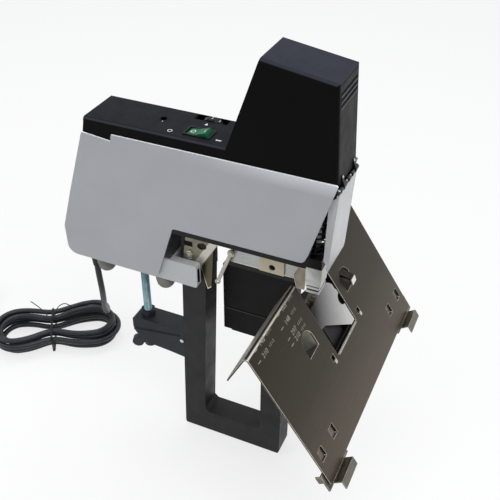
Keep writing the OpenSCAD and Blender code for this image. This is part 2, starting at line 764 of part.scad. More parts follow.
// The guard hangs from its pin and leans back towards the nose
module finger_guard() {
  lean = atan(guard_back / guard_fall);
  length = guard_fall / cos(lean);
  color([0.75, 0.85, 0.95, 0.35]) translate([guard_pin_x, 0, guard_pin_z]) rotate([0, lean, 0]) difference() {
    union() {
      along(-guard_t / 2, guard_t / 2) polygon(concat([[-guard_y, -3.4], [guard_y, -3.4]],
        arc([guard_y - 3, 3 - length], 3, 0, -90, 4), arc([3 - guard_y, 3 - length], 3, -90, -180, 4)));
      for (s = [-1, 1]) across(s > 0 ? guard_y - guard_t : -guard_y, s > 0 ? guard_y : -guard_y + guard_t)
        polygon([[0, -6], [0, -length + 6], [-4, -length + 10], [-6.5, -12]]);
      for (y = [-19, -9, 0, 9, 19]) rod_across(0, 0, y - 2.2, y + 2.2, 2.4);
      for (y = [-19, -9, 0, 9, 19]) box(-guard_t / 2, guard_t / 2, y - 2.2, y + 2.2, -4, 0);
    }
    rod_across(0, 0, -40, 40, 1.2 + run);
  }
}

// Tilting paper table

module pivot_rod() {
  color([0.7, 0.7, 0.72]) rod_across(pivot_x, pivot_z, -rod_y, rod_y, pivot_r);
}

module pivot_clips() {
  color([0.4, 0.4, 0.42]) for (s = [-1, 1]) difference() {
    rod_across(pivot_x, pivot_z, s > 0 ? rod_y - 2.5 : -rod_y + 1.3, s > 0 ? rod_y - 1.3 : -rod_y + 2.5, pivot_r + 2.5);
    rod_across(pivot_x, pivot_z, -rod_y - 1, rod_y + 1, pivot_r);
  }
}

// Grip hole with a round upper end
module grip_hole() {
  translate([45, 48]) circle(r = 10, $fn = 48);
  translate([45, 38]) square([10, 20]);
}

// Strap pressed down out of the sheet, to guide one prong of a paper stop
module strap(y) {
  for (s = [-1, 1]) box(strap_x, strap_x + 10, y + s * 5 - 0.6, y + s * 5 + 0.6, -table_t - 3.4, -table_t / 2);
  box(strap_x, strap_x + 10, y - 5.6, y + 5.6, -table_t - 3.4, -table_t - 2.2);
}

// Sheet seen from its end: the table, the round bend at the ridge and the short rear flange
module table_profile() {
  bend = flange_fall + slope;
  centre = [bend_r / tan(90 - bend / 2), -bend_r];
  tip = flange_l * [cos(bend - 180), sin(bend - 180)];
  polygon(concat(
    [[table_l, 0]], arc(centre, bend_r, 90, 90 + bend, 12), [tip, tip + table_t * [sin(bend), -cos(bend)]],
    arc(centre, bend_r - table_t, 90 + bend, 90, 12), [[table_l, -table_t]]));
}

module table_plate() {
  color([0.42, 0.4, 0.37]) union() {
    on_table() difference() {
      across(-table_w / 2, table_w / 2) table_profile();
      translate([-60, -cut_near, -80]) cube([cut_l + 60, cut_near + cut_y, 100]);
      for (s = [0, 1]) mirror([0, s, 0]) translate([0, 0, -5]) linear_extrude(height = 10) {
        grip_hole();
        translate([73.4, s > 0 ? cut_near + 5.4 : cut_y + 7.9]) square([5.2, 5.2]);
        for (y = strap_y) translate([strap_x, y - 4.4]) square([10, 8.8]);
      }
    }
    on_table() for (s = [-1, 1], y = strap_y) strap(s * y);
    for (s = [-1, 1])
      across(s > 0 ? lug_y : -lug_y - lug_t, s > 0 ? lug_y + lug_t : -lug_y) table_lug();
  }
}

module table_lug() {
  mid = cos(slope) * (pivot_x - ridge_x) + sin(slope) * (ridge_z - pivot_z);
  difference() {
    union() {
      translate([pivot_x, pivot_z]) circle(r = pivot_r + 3, $fn = 48);
      translate([ridge_x, ridge_z]) rotate(-slope)
        translate([mid - pivot_r - 3, -pivot_drop]) square([2 * pivot_r + 6, pivot_drop - table_t / 2]);
    }
    translate([pivot_x, pivot_z]) circle(r = pivot_r + run, $fn = 48);
  }
}

// Sprung leaf under the far grip hole, with a bright hook that stands up through it
module table_hook() {
  color([0.85, 0.85, 0.85]) on_table() {
    box(27, 62, 36, 60, -table_t - 1.6, -table_t);
    rotate([90, 0, 0]) translate([0, 0, -53]) linear_extrude(height = 9)
      polygon([[38, -table_t], [44, 4.6], [48, 7], [53, 5.6], [54, 2], [52.4, 1.6], [51.6, 4.2], [48, 5.2], [45.4, 3.6], [41.6, -table_t]]);
  }
}

module paper_stop() {
  low = -table_t - 0.2;
  on_table() {
    for (y = strap_y) box(strap_x - 10, strap_x + 18, y - 4, y + 4, low - 1.6, low);
    box(strap_x + 18, table_l + 4, strap_y[0] - 4, stop_y, low - 1.6, low);
    box(table_l - 12, table_l + 4, stop_y - 1, table_w / 2 + 3.5, low - 1.6, low);
    box(table_l - 12, table_l - 5, table_w / 2 + 2.3, table_w / 2 + 3.5, low - 6, low);
    box(table_l + 2.8, table_l + 4, stop_y - stop_w, stop_y, low - 1.6, 7);
    box(table_l + 2.8, table_l + 11, stop_y - stop_w, stop_y, 5.8, 7);
  }
}

module near_stop() {
  color([0.6, 0.59, 0.57]) mirror([0, 1, 0]) paper_stop();
}

module far_stop() {
  color([0.6, 0.59, 0.57]) paper_stop();
}

// Cord

module strain_relief() {
  color([0.07, 0.07, 0.07]) translate([gland_x, 0, 0]) {
    translate([0, 0, gland_low]) cylinder(h = pan_z - gland_low, r1 = cord_r + 0.8, r2 = 6.4, $fn = 32);
    translate([0, 0, pan_z]) cylinder(h = 4, r = 4.6, $fn = 32);
  }
}

// Half width of the hank at a place u along it, drawn in at the waist
function pinch(u) = exp(-pow((u - waist_at) / waist_len, 2));
function hank_side(u, q) = hank_wide + q + (hank_waist - hank_wide + 0.35 * q) * pinch(u);

// One turn in a layer, then half a turn that goes down to the next layer
function hank_level(t) = let (k = floor(t / 1.5), f = t - 1.5 * k) k + max(0, (f - 1) / 0.5);
function hank_lane(t) = let (k = floor(t / 1.5), f = min(t - 1.5 * k, 1)) k % 2 == 0 ? 1 - f : f;

// Place along one turn: two round ends, a share hank_arc of the turn each, and two long sides
function hank_along(f, q) =
  let (w = hank_wide + q, flat = hank_half - hank_wide, side = (f % 0.5 - hank_arc) / (0.5 - hank_arc))
  f < hank_arc ? let (a = 180 * (f / hank_arc - 0.5)) [flat + w * cos(a), sin(a)]
  : f < 0.5 ? [flat * (1 - 2 * side), 1]
  : f < 0.5 + hank_arc ? let (a = 180 * ((f - 0.5) / hank_arc + 0.5)) [-flat + w * cos(a), sin(a)]
  : [-flat * (1 - 2 * side), -1];

function hank_point(t) =
  let (
    q = lane * hank_lane(t),
    at = hank_along((hank_start + t) % 1, q),
    z = layer_low + layer * (3 - hank_level(t))
  )
  [at[0], at[1] * hank_side(at[0], q), z];

function to_floor(p) = [
  hank_at[0] + p[0] * cos(hank_turn) - p[1] * sin(hank_turn),
  hank_at[1] + p[0] * sin(hank_turn) + p[1] * cos(hank_turn),
  p[2]];

hank_count = round(hank_turns * loop_rings);
hank_loops = [for (i = [0:hank_count]) hank_point(hank_turns * i / hank_count)];
hank_in = hank_loops[0] + cord_d * unit(hank_loops[0] - hank_loops[1]);
hank_out = hank_loops[hank_count] + cord_d * unit(hank_loops[hank_count] - hank_loops[hank_count - 1]);
hank_route = [for (p = concat([hank_in], hank_loops, [hank_out])) to_floor(p)];

// Least gap between two stretches of the hank that are not neighbours
hank_gap = min([for (i = [0:len(hank_route) - 1], j = [i + 6:1:len(hank_route) - 1])
  norm(hank_route[i] - hank_route[j])]) - cord_d;
echo(hank_gap = hank_gap);

module cord() {
  into = to_floor(hank_in + cord_d * unit(hank_loops[0] - hank_loops[1]));
  color([0.05, 0.05, 0.05])
    tube(concat(smooth(concat(cord_points, [into]), 3), [hank_route[0]]), cord_r, 10);
}

module cord_hank() {
  color([0.05, 0.05, 0.05]) tube(hank_route, cord_r, 6, [0, 0, 1]);
}

// Thin band round the waist of the hank
module cord_tie() {
  half = hank_waist + 1.35 * lane + cord_r + 0.5;
  high = layer_low + 3 * layer + cord_r + 0.5;
  color([0.1, 0.1, 0.1]) translate([hank_at[0], hank_at[1], 0]) rotate([0, 0, hank_turn])
    along(waist_at - 1.5, waist_at + 1.5) difference() {
      translate([-half - 0.8, 0.2]) square([2 * half + 1.6, high + 0.6]);
      translate([-half, 1]) square([2 * half, high - 1]);
    }
}

module cord_tail() {
  start = hank_loops[hank_count];
  first = hank_out + cord_d * unit(hank_out - start);
  route = concat([hank_out, first], tail_points);
  color([0.05, 0.05, 0.05]) tube([for (p = smooth(route, 3)) to_floor(p)], cord_r, 10, [0, 0, 1]);
}

// Two-pin mains plug, lying on its flat side
module plug() {
  end = to_floor(tail_points[4]);
  back = to_floor(tail_points[3]);
  color([0.06, 0.06, 0.06]) translate(end) rotate([0, 0, atan2(end[1] - back[1], end[0] - back[0])]) {
    rotate([0, 90, 0]) cylinder(h = 12, r1 = cord_r + 0.6, r2 = 6, $fn = 32);
    translate([11, 0, -7]) linear_extrude(height = 14) polygon([[0, -6], [8, -12], [24, -13], [24, 13], [8, 12], [0, 6]]);
    for (s = [-1, 1]) rod_along(s * 9.3, 0, 35, 54, 2);
  }
}

near_cover();
far_cover();
rear_panel();
chassis();
top_cover();
base_pan();
rubber_feet();
base_screws();
rocker_bezel();
rocker();
dial_wheel();
dial_axle();
circuit_board();
transformer();
throat_frame();
anvil();
saddle_cap();
saddle_wings();
table_buffer();
drive_housing();
housing_base();
housing_screws();
clamp_bracket();
bracket_pins();
clamp_nut();
clamp_screw();
clamp_knob();
pressure_pad();
magazine_rail();
staple_pusher();
feed_spring();
latch_plate();
latch_pin();
latch_link();
nose_block();
driver_blade();
blade_pin();
plunger();
return_spring();
solenoid_yoke();
solenoid_coil();
guard_lugs();
guard_pin();
finger_guard();
pivot_rod();
pivot_clips();
table_plate();
table_hook();
near_stop();
far_stop();
strain_relief();
cord();
cord_hank();
cord_tie();
cord_tail();
plug();
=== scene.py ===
# Electric saddle stapler: camera, cord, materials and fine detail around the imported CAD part.
import math

import bpy
from mathutils import Matrix, Vector


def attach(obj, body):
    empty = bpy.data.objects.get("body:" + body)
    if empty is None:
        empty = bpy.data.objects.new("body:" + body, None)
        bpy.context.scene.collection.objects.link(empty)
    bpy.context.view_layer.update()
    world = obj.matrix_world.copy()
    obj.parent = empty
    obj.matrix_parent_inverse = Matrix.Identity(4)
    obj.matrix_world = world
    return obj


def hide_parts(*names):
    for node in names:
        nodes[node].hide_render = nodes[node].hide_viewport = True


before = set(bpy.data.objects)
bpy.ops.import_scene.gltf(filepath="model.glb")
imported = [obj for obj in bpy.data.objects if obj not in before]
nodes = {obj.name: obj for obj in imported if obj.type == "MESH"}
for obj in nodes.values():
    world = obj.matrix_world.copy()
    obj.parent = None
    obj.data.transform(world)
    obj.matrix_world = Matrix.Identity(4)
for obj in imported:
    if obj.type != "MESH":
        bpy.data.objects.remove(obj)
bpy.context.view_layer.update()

scene = bpy.context.scene
MM = 0.001


def mm(*p):
    return Vector(p) * MM


def linear(r, g, b):
    """A colour written as 0 to 255 on screen, as linear values."""
    out = []
    for c in (r, g, b):
        c /= 255
        out.append(c / 12.92 if c <= 0.04045 else ((c + 0.055) / 1.055) ** 2.4)
    return (*out, 1.0)


def link(obj):
    scene.collection.objects.link(obj)
    return obj


# Camera at the photograph's viewing angle: place in millimetres, then yaw, pitch and roll in degrees

CAMERA_AT = (247.93, -512.23, 655.16)
CAMERA_TURNS = (23.919, 36.295, 0.175)
FOCAL_PX, PICTURE_PX, SENSOR = 790.42, 500, 36


def make_camera():
    yaw, pitch, roll = (math.radians(a) for a in CAMERA_TURNS)
    back = Vector((math.sin(yaw) * math.cos(pitch), -math.cos(yaw) * math.cos(pitch), math.sin(pitch)))
    right = Vector((math.cos(yaw), math.sin(yaw), 0))
    up = back.cross(right)
    across = math.cos(roll) * right + math.sin(roll) * up
    above = -math.sin(roll) * right + math.cos(roll) * up
    data = bpy.data.cameras.new("camera")
    data.sensor_fit = "HORIZONTAL"
    data.sensor_width = SENSOR
    data.lens = FOCAL_PX * SENSOR / PICTURE_PX
    data.clip_start = 0.01
    data.clip_end = 50
    camera = link(bpy.data.objects.new("camera", data))
    place = Matrix((across, above, back)).transposed().to_4x4()
    place.translation = mm(*CAMERA_AT)
    camera.matrix_world = place
    scene.camera = camera


make_camera()


# Materials

class Look:
    """One node material: a principled shader with helpers for procedural colour, roughness and bump."""

    def __init__(self, name, color, rough, metal=0.0, spec=0.5):
        self.mat = bpy.data.materials.new(name)
        self.mat.use_nodes = True
        self.tree = self.mat.node_tree
        self.bsdf = self.tree.nodes["Principled BSDF"]
        self.color = color
        self.set("Base Color", color)
        self.set("Roughness", rough)
        self.set("Metallic", metal)
        self.set("Specular IOR Level", spec)
        self.coords = self.tree.nodes.new("ShaderNodeTexCoord").outputs["Object"]
        self.height = None

    def set(self, socket, value):
        self.bsdf.inputs[socket].default_value = value

    def join(self, a, b):
        self.tree.links.new(a, b)

    def noise(self, scale, detail, stretch=(1, 1, 1), kind="noise"):
        """A grey texture in the part's own frame. Scale is in cycles per metre."""
        place = self.tree.nodes.new("ShaderNodeMapping")
        place.inputs["Scale"].default_value = stretch
        self.join(self.coords, place.inputs["Vector"])
        if kind == "noise":
            tex = self.tree.nodes.new("ShaderNodeTexNoise")
            tex.inputs["Detail"].default_value = detail
            out = tex.outputs["Fac"]
        else:
            tex = self.tree.nodes.new("ShaderNodeTexVoronoi")
            out = tex.outputs["Distance"]
        tex.inputs["Scale"].default_value = scale
        self.join(place.outputs["Vector"], tex.inputs["Vector"])
        return out

    def spread(self, fac, low, high, a=0.3, b=0.7):
        """Maps a value from a..b to low..high."""
        m = self.tree.nodes.new("ShaderNodeMapRange")
        for socket, value in (("From Min", a), ("From Max", b), ("To Min", low), ("To Max", high)):
            m.inputs[socket].default_value = value
        self.join(fac, m.inputs["Value"])
        return m.outputs["Result"]

    def ramp(self, fac, *stops):
        """Colour that runs through the given stops, each a position and a colour."""
        node = self.tree.nodes.new("ShaderNodeValToRGB")
        elements = node.color_ramp.elements
        while len(elements) < len(stops):
            elements.new(0.5)
        for element, (at, color) in zip(elements, stops):
            element.position = at
            element.color = color
        self.join(fac, node.inputs["Fac"])
        return node.outputs["Color"]

    def tint(self, fac, dark, light, a=0.3, b=0.7):
        """Base colour that goes from dark to light with a texture."""
        self.join(self.ramp(fac, (a, dark), (b, light)), self.bsdf.inputs["Base Color"])
        return self

    def vary(self, amount, scale, detail):
        """Slight variation of the base colour."""
        dark = tuple(c * (1 - amount) for c in self.color[:3]) + (1,)
        light = tuple(min(1, c * (1 + amount)) for c in self.color[:3]) + (1,)
        return self.tint(self.noise(scale, detail), dark, light)

    def axes(self, output="Object"):
        """The three parts of a place on the piece, or of the direction that its surface faces."""
        split = self.tree.nodes.new("ShaderNodeSeparateXYZ")
        self.join(self.coords.node.outputs[output], split.inputs["Vector"])
        return split.outputs

    def toward(self, x, y, z):
        """How far a place on the piece lies along a direction, in metres."""
        dot = self.tree.nodes.new("ShaderNodeVectorMath")
        dot.operation = "DOT_PRODUCT"
        dot.inputs[1].default_value = (x, y, z)
        self.join(self.coords, dot.inputs[0])
        return dot.outputs["Value"]

    def times(self, a, b):
        """Product of two shares."""
        both = self.tree.nodes.new("ShaderNodeMath")
        both.operation = "MULTIPLY"
        self.join(a, both.inputs[0])
        self.join(b, both.inputs[1])
        return both.outputs["Value"]

    def peak(self, fac, *steps):
        """Share that rises from the first step to the second and falls from the third to the fourth."""
        black, white = (0, 0, 0, 1), (1, 1, 1, 1)
        return self.ramp(fac, *zip(steps, (black, white, white, black)))

    def blend(self, share, color):
        """Mixes another colour over the base colour."""
        mix = self.tree.nodes.new("ShaderNodeMix")
        mix.data_type = "RGBA"
        base = self.bsdf.inputs["Base Color"]
        if base.is_linked:
            self.join(base.links[0].from_socket, mix.inputs["A"])
        else:
            mix.inputs["A"].default_value = base.default_value
        self.join(share, mix.inputs["Factor"])
        mix.inputs["B"].default_value = color
        self.join(mix.outputs["Result"], base)

    def rough(self, low, high, scale, detail, stretch=(1, 1, 1)):
        """Roughness between two values."""
        self.join(self.spread(self.noise(scale, detail, stretch), low, high), self.bsdf.inputs["Roughness"])
        return self

    def bump(self, fac, strength, depth):
        """Adds a bump, depth in metres, on top of any earlier one."""
        b = self.tree.nodes.new("ShaderNodeBump")
        b.inputs["Strength"].default_value = strength
        b.inputs["Distance"].default_value = depth
        self.join(fac, b.inputs["Height"])
        if self.height is not None:
            self.join(self.height, b.inputs["Normal"])
        self.height = b.outputs["Normal"]
        self.join(self.height, self.bsdf.inputs["Normal"])
        return self


def paint(name, color, rough, spec=0.5):
    look = Look(name, color, rough, spec=spec)
    look.vary(0.035, 22, 4).rough(rough - 0.05, rough + 0.06, 60, 4)
    look.bump(look.noise(700, 2), 0.1, 0.00003).bump(look.noise(5200, 1), 0.05, 0.00002)
    return look.mat


def cover_paint(name, color, top, glow):
    """Smooth paint with painted highlights: nearly white on the edges that look up, paler just below them
    towards the front.
    """
    look = Look(name, color, 0.36)
    look.vary(0.035, 22, 4).rough(0.31, 0.42, 60, 4)
    at = look.axes()
    # Painted highlight: a pale band just below the top edge towards the front, and near white where faces
    # look up
    front_highlight = look.times(look.spread(at["Z"], 0.0, 0.5, 0.332, 0.344),
                          look.spread(at["X"], 0.0, 1.0, -0.03, 0.06))
    look.blend(front_highlight, glow)
    look.blend(look.spread(look.axes("Normal")["Z"], 0.0, 1.0, 0.3, 0.7), top)
    look.bump(look.noise(700, 2), 0.1, 0.00003).bump(look.noise(5200, 1), 0.05, 0.00002)
    return look.mat


def moulding(name, color, rough, spec=0.4, grain=1500):
    look = Look(name, color, rough, spec=spec)
    look.vary(0.16, 35, 5).rough(rough - 0.06, rough + 0.08, 90, 4)
    look.bump(look.noise(grain, 2, kind="cells"), 0.22, 0.00006).bump(look.noise(grain * 3, 2), 0.12, 0.00003)
    return look.mat


def tower_moulding(name, color, top, edge, crown, front):
    """Grained black plastic with painted light: painted sheen where it looks up, painted highlights on its
    edges, and painted light on the tower's crown and front.
    """
    look = Look(name, color, 0.48, spec=0.05)
    look.vary(0.16, 35, 5).rough(0.42, 0.56, 90, 4)
    at, facing = look.axes(), look.axes("Normal")
    look.blend(look.spread(facing["Z"], 0.0, 1.0, 0.25, 0.9), top)
    crown_light = look.times(look.spread(facing["Z"], 0.0, 1.0, 0.75, 0.95),
                          look.spread(at["Z"], 0.0, 1.0, 0.38, 0.41))
    look.blend(crown_light, crown)
    look.blend(look.peak(facing["Z"], 0.3, 0.5, 0.8, 0.95), edge)
    front_light = look.times(look.spread(facing["X"], 0.0, 1.0, 0.8, 0.97),
                          look.spread(at["Y"], 0.0, 1.0, -0.0215, -0.0165))
    look.blend(front_light, front)
    look.bump(look.noise(1500, 2, kind="cells"), 0.22, 0.00006).bump(look.noise(4500, 2), 0.12, 0.00003)
    return look.mat


def cast_paint(name, color):
    look = Look(name, color, 0.5, spec=0.2)
    look.vary(0.14, 30, 5).rough(0.42, 0.6, 70, 4)
    look.bump(look.noise(260, 3), 0.14, 0.0001).bump(look.noise(1900, 2), 0.1, 0.00005)
    return look.mat


def brushed(name, dark, light, rough, stretch, streak):
    """Bare steel with fine streaks along the axis that is stretched."""
    look = Look(name, light, rough, 1.0)
    look.tint(look.noise(streak, 4, stretch), dark, light, 0.28, 0.72)
    look.rough(rough - 0.09, rough + 0.12, streak * 1.7, 3, stretch)
    look.bump(look.noise(streak * 2.2, 2, stretch), 0.05, 0.00002)
    return look.mat


def plated(name, dark, light, rough, metal=1.0):
    look = Look(name, light, rough, metal)
    look.tint(look.noise(130, 4), dark, light)
    look.rough(rough - 0.06, rough + 0.1, 240, 4)
    look.bump(look.noise(900, 2), 0.06, 0.00003)
    return look.mat


def latch_steel(name, plain, band, flange):
    """Plated sheet with a painted highlight beside its fold line and painted shade on the folded flange."""
    look = Look(name, plain, 0.32, 1.0)
    look.vary(0.18, 130, 4)
    across, fold = look.toward(0.854, 0, -0.52), -0.13354
    fold_highlight = look.peak(look.spread(across, 0.0, 1.0, fold - 0.01, fold + 0.01), 0.12, 0.16, 0.47, 0.5)
    look.blend(fold_highlight, band)
    look.blend(look.spread(across, 0.0, 1.0, fold + 0.0002, fold + 0.0006), flange)
    look.rough(0.26, 0.42, 240, 4)
    look.bump(look.noise(900, 2), 0.06, 0.00003)
    return look.mat


def hook_steel(name, dark, bright):
    """Plated sheet, with painted shade on the rising back of the hook and a bright painted highlight on its
    curved front.
    """
    look = Look(name, bright, 0.26, 1.0)
    look.tint(look.noise(130, 4), tuple(0.8 * c for c in bright[:3]) + (1,), bright)
    down = look.toward(0.5635, 0, -0.8261)
    look.blend(look.spread(down, 1.0, 0.0, -0.1114, -0.1106), dark)
    look.rough(0.2, 0.36, 240, 4)
    look.bump(look.noise(900, 2), 0.06, 0.00003)
    return look.mat


def rubber(name, color, rough=0.62):
    look = Look(name, color, rough, spec=0.35)
    look.vary(0.2, 70, 4).rough(rough - 0.08, rough + 0.1, 160, 4)
    look.bump(look.noise(2600, 2), 0.18, 0.00004)
    return look.mat


def white_print(name):
    look = Look(name, linear(215, 215, 210), 0.55)
    look.vary(0.06, 600, 3)
    look.bump(look.noise(3000, 2), 0.1, 0.00002)
    return look.mat


def clear_plastic(name, hinge_z):
    """Clear plastic, black in the hinge above hinge_z."""
    look = Look(name, (0.80, 0.83, 0.86, 1), 0.14)
    look.set("IOR", 1.47)
    look.tint(look.noise(25, 3), (0.58, 0.60, 0.62, 1), (0.68, 0.68, 0.68, 1))
    high = look.axes()["Z"]
    border = (hinge_z - 0.0004, hinge_z + 0.0004)
    look.blend(look.spread(high, 0.0, 1.0, *border), linear(16, 16, 17))
    look.join(look.spread(high, 0.5, 0.0, *border), look.bsdf.inputs["Transmission Weight"])
    look.rough(0.1, 0.2, 90, 3)
    look.bump(look.noise(60, 2), 0.02, 0.0001)
    return look.mat


def signal_plastic(name):
    look = Look(name, linear(4, 84, 56), 0.4, spec=0.16)
    look.tint(look.noise(90, 3), linear(2, 66, 44), linear(6, 100, 66))
    look.rough(0.34, 0.46, 300, 3)
    look.bump(look.noise(1400, 2), 0.04, 0.00003)
    return look.mat


def cap_steel(name, near, dark, light):
    """Bright sheet, darkened towards its upper near corner by painted shade and a painted dark reflection,
    with fine brushing.
    """
    brush = (0.04, 1, 0.04)
    look = Look(name, light, 0.34, 0.9)
    look.tint(look.noise(2600, 4, brush), dark, light)
    # Painted shade and dark reflection, strongest at the upper near corner beside the nose
    look.blend(look.spread(look.toward(0.3026, 0.8436, -0.4436), 1.0, 0.0, -0.0761, -0.0221), near)
    look.rough(0.28, 0.42, 2200, 3, brush)
    look.bump(look.noise(3000, 2, brush), 0.04, 0.00002)
    return look.mat


def table_steel(name, dark, mid, light, bend, flange):
    """Dark brushed stainless with painted light: a painted reflection that grows lighter towards the lower
    edge, a painted highlight on the flange behind the ridge, and a bright painted highlight on the ridge's
    bend.
    """
    brush = (1, 0.02, 1)
    look = Look(name, mid, 0.34, 1.0)
    base = look.bsdf.inputs["Base Color"]
    facing = look.axes("Normal")
    # Painted reflection: darker at the ridge, lighter towards the lower edge
    down = look.spread(look.axes()["X"], 0.0, 1.0, 0.070, 0.150)
    look.join(look.ramp(down, (0, dark), (0.5, mid), (1, light)), base)
    # Painted highlight on the ridge's bend
    look.blend(look.peak(facing["X"], 0.12, 0.3, 0.6, 0.74), bend)
    streaks = look.noise(1500, 4, brush)
    shade = look.tree.nodes.new("ShaderNodeMix")
    shade.data_type = "RGBA"
    shade.blend_type = "MULTIPLY"
    shade.inputs["Factor"].default_value = 1.0
    look.join(base.links[0].from_socket, shade.inputs["A"])
    look.join(look.ramp(streaks, (0.25, (0.84, 0.83, 0.81, 1)), (0.75, (1, 1, 1, 1))), shade.inputs["B"])
    look.join(shade.outputs["Result"], base)
    # Painted highlight on the rear flange's faces that look back and up, where the streaks are light
    flange_highlight = look.times(look.spread(facing["X"], 1.0, 0.0, -0.7, -0.3),
                      look.spread(facing["Z"], 0.0, 1.0, 0.1, 0.35))
    look.blend(look.times(flange_highlight, look.spread(streaks, 0.75, 1.0)), flange)
    look.rough(0.28, 0.42, 2400, 3, brush)
    look.bump(look.noise(3000, 2, brush), 0.06, 0.00002)
    return look.mat


# Cover grey, then the painted highlight colours for faces that look up and for the band below the top edge
COVER = cover_paint("cover_paint", linear(154, 156, 160), linear(238, 240, 244), linear(222, 224, 228))
PAN = paint("pan_paint", linear(170, 173, 175), 0.42)
# Black moulding; the four colours after it are painted light for upward faces, edges, the crown and the front
MOULD = tower_moulding("black_moulding", linear(7, 7, 7), (0.0062, 0.0076, 0.0104, 1),
                       (0.026, 0.029, 0.036, 1), (0.020, 0.022, 0.034, 1), (0.022, 0.022, 0.022, 1))
CONTROL = moulding("control_plastic", linear(9, 9, 10), 0.45, 0.15)
# Grey for painted highlights on the louvre lips and the housing's seam
LIP_HIGHLIGHT = moulding("louvre_highlight_plastic", linear(62, 62, 64), 0.5, 0.2)
KNOB = moulding("knob_plastic", linear(34, 41, 46), 0.5, 0.3)
BOX = moulding("housing_moulding", linear(10, 10, 12), 0.42, 0.12, 1100)
CHASSIS = paint("chassis_enamel", linear(15, 15, 16), 0.4, 0.2)
CAST = cast_paint("frame_paint", linear(32, 32, 33))
CLAMP = cast_paint("clamp_paint", linear(33, 37, 41))
# Table steel: painted reflection colours dark, mid and light, then the painted highlights of the bend and the
# rear flange
TABLE = table_steel("table_steel", linear(56, 52, 45), linear(70, 65, 57), linear(100, 92, 83),
                    linear(236, 232, 222), linear(182, 178, 168))
STOP = brushed("stop_steel", linear(96, 92, 84), linear(128, 123, 114), 0.34, (1, 0.05, 1), 1200)
# Cap steel: painted shade colour for the upper near corner, then the dark and light of the brushing
CAP = cap_steel("cap_steel", linear(50, 49, 48), linear(196, 196, 196), linear(218, 218, 218))
BRIGHT = brushed("bright_steel", linear(150, 151, 150), linear(172, 173, 172), 0.3, (0.05, 1, 1), 2600)
NOSE = plated("nose_plate", linear(190, 190, 188), linear(208, 208, 206), 0.4, 0.55)
GUIDE = plated("guide_zinc", linear(124, 116, 101), linear(152, 143, 127), 0.42)
ANVIL = brushed("anvil_steel", linear(92, 90, 78), linear(126, 124, 110), 0.4, (0.05, 1, 1), 1300)
# Latch steel: plain colour, painted highlight beside the fold, painted shade on the flange
LATCH = latch_steel("latch_steel", linear(122, 118, 104), linear(190, 187, 176), linear(88, 83, 66))
# Hook steel: painted shade colour for the back, bright painted highlight colour for the front
HOOK = hook_steel("hook_steel", linear(46, 43, 37), linear(236, 236, 234))
LINK = plated("link_steel", linear(148, 145, 134), linear(184, 181, 170), 0.32)
INNER = plated("inner_steel", linear(36, 36, 38), linear(58, 58, 60), 0.4)
# Dark steel for painted shade under the far grip hole
LEAF_SHADE = plated("leaf_shade_steel", linear(34, 31, 26), linear(56, 52, 45), 0.45)
TAB = plated("tab_steel", linear(94, 92, 86), linear(122, 119, 112), 0.42)
# Bright steel for painted highlights along cut edges and lips; the clips' small tabs use it too
EDGE_HIGHLIGHT = plated("edge_highlight_steel", linear(176, 172, 162), linear(214, 210, 200), 0.28)
CHROME = plated("plated_steel", linear(168, 170, 172), linear(214, 216, 218), 0.16)
ZINC = plated("zinc_steel", linear(108, 138, 146), linear(132, 162, 168), 0.45, 0.45)
DARK_STEEL = plated("dark_steel", linear(70, 70, 70), linear(112, 112, 110), 0.35)
GREY_RUBBER = rubber("foot_rubber", linear(104, 104, 99))
BLACK_RUBBER = rubber("black_rubber", linear(18, 18, 19), 0.55)
CORD = rubber("cord_sheath", linear(24, 30, 34), 0.42)
GRIP = moulding("pusher_plastic", linear(190, 180, 154), 0.45, 0.5, 1300)
GREEN = signal_plastic("rocker_green")
CLEAR = clear_plastic("guard_clear", 0.3336)
WHITE = white_print("white_print")
STAMP = brushed("stamped_marks", linear(140, 135, 124), linear(176, 171, 160), 0.4, (1, 0.05, 1), 1300)
HOLLOW = moulding("shadow_plastic", linear(10, 10, 10), 0.6, 0.1)
BOARD = moulding("board_green", linear(24, 96, 58), 0.4)
COPPER = plated("coil_copper", linear(120, 60, 26), linear(176, 100, 52), 0.35)

LOOKS = {
    COVER: ["near_cover", "far_cover", "rear_panel"],
    PAN: ["base_pan"],
    MOULD: ["top_cover"],
    CONTROL: ["rocker_bezel", "dial_wheel"],
    KNOB: ["clamp_knob"],
    BOX: ["drive_housing", "housing_base"],
    CHASSIS: ["chassis", "saddle_wings"],
    CAST: ["throat_frame"],
    CLAMP: ["clamp_bracket", "clamp_nut", "pressure_pad"],
    TABLE: ["table_plate"],
    STOP: ["near_stop", "far_stop"],
    CAP: ["saddle_cap"],
    BRIGHT: ["magazine_rail", "feed_spring"],
    INNER: ["driver_blade", "plunger", "return_spring", "guard_lugs"],
    NOSE: ["nose_block"],
    ANVIL: ["anvil"],
    LATCH: ["latch_plate"],
    LINK: ["latch_link", "latch_pin"],
    HOOK: ["table_hook"],
    CHROME: ["guard_pin", "bracket_pins", "base_screws", "dial_axle",
             "housing_screws", "blade_pin", "pivot_rod"],
    ZINC: ["clamp_screw"],
    DARK_STEEL: ["pivot_clips", "solenoid_yoke", "transformer"],
    GREY_RUBBER: ["rubber_feet"],
    BLACK_RUBBER: ["table_buffer", "strain_relief", "plug"],
    CORD: ["cord", "cord_hank", "cord_tie", "cord_tail"],
    GRIP: ["staple_pusher"],
    GREEN: ["rocker"],
    CLEAR: ["finger_guard"],
    BOARD: ["circuit_board"],
    COPPER: ["solenoid_coil"],
}

for mat, names in LOOKS.items():
    for n in names:
        nodes[n].data.materials.clear()
        nodes[n].data.materials.append(mat)


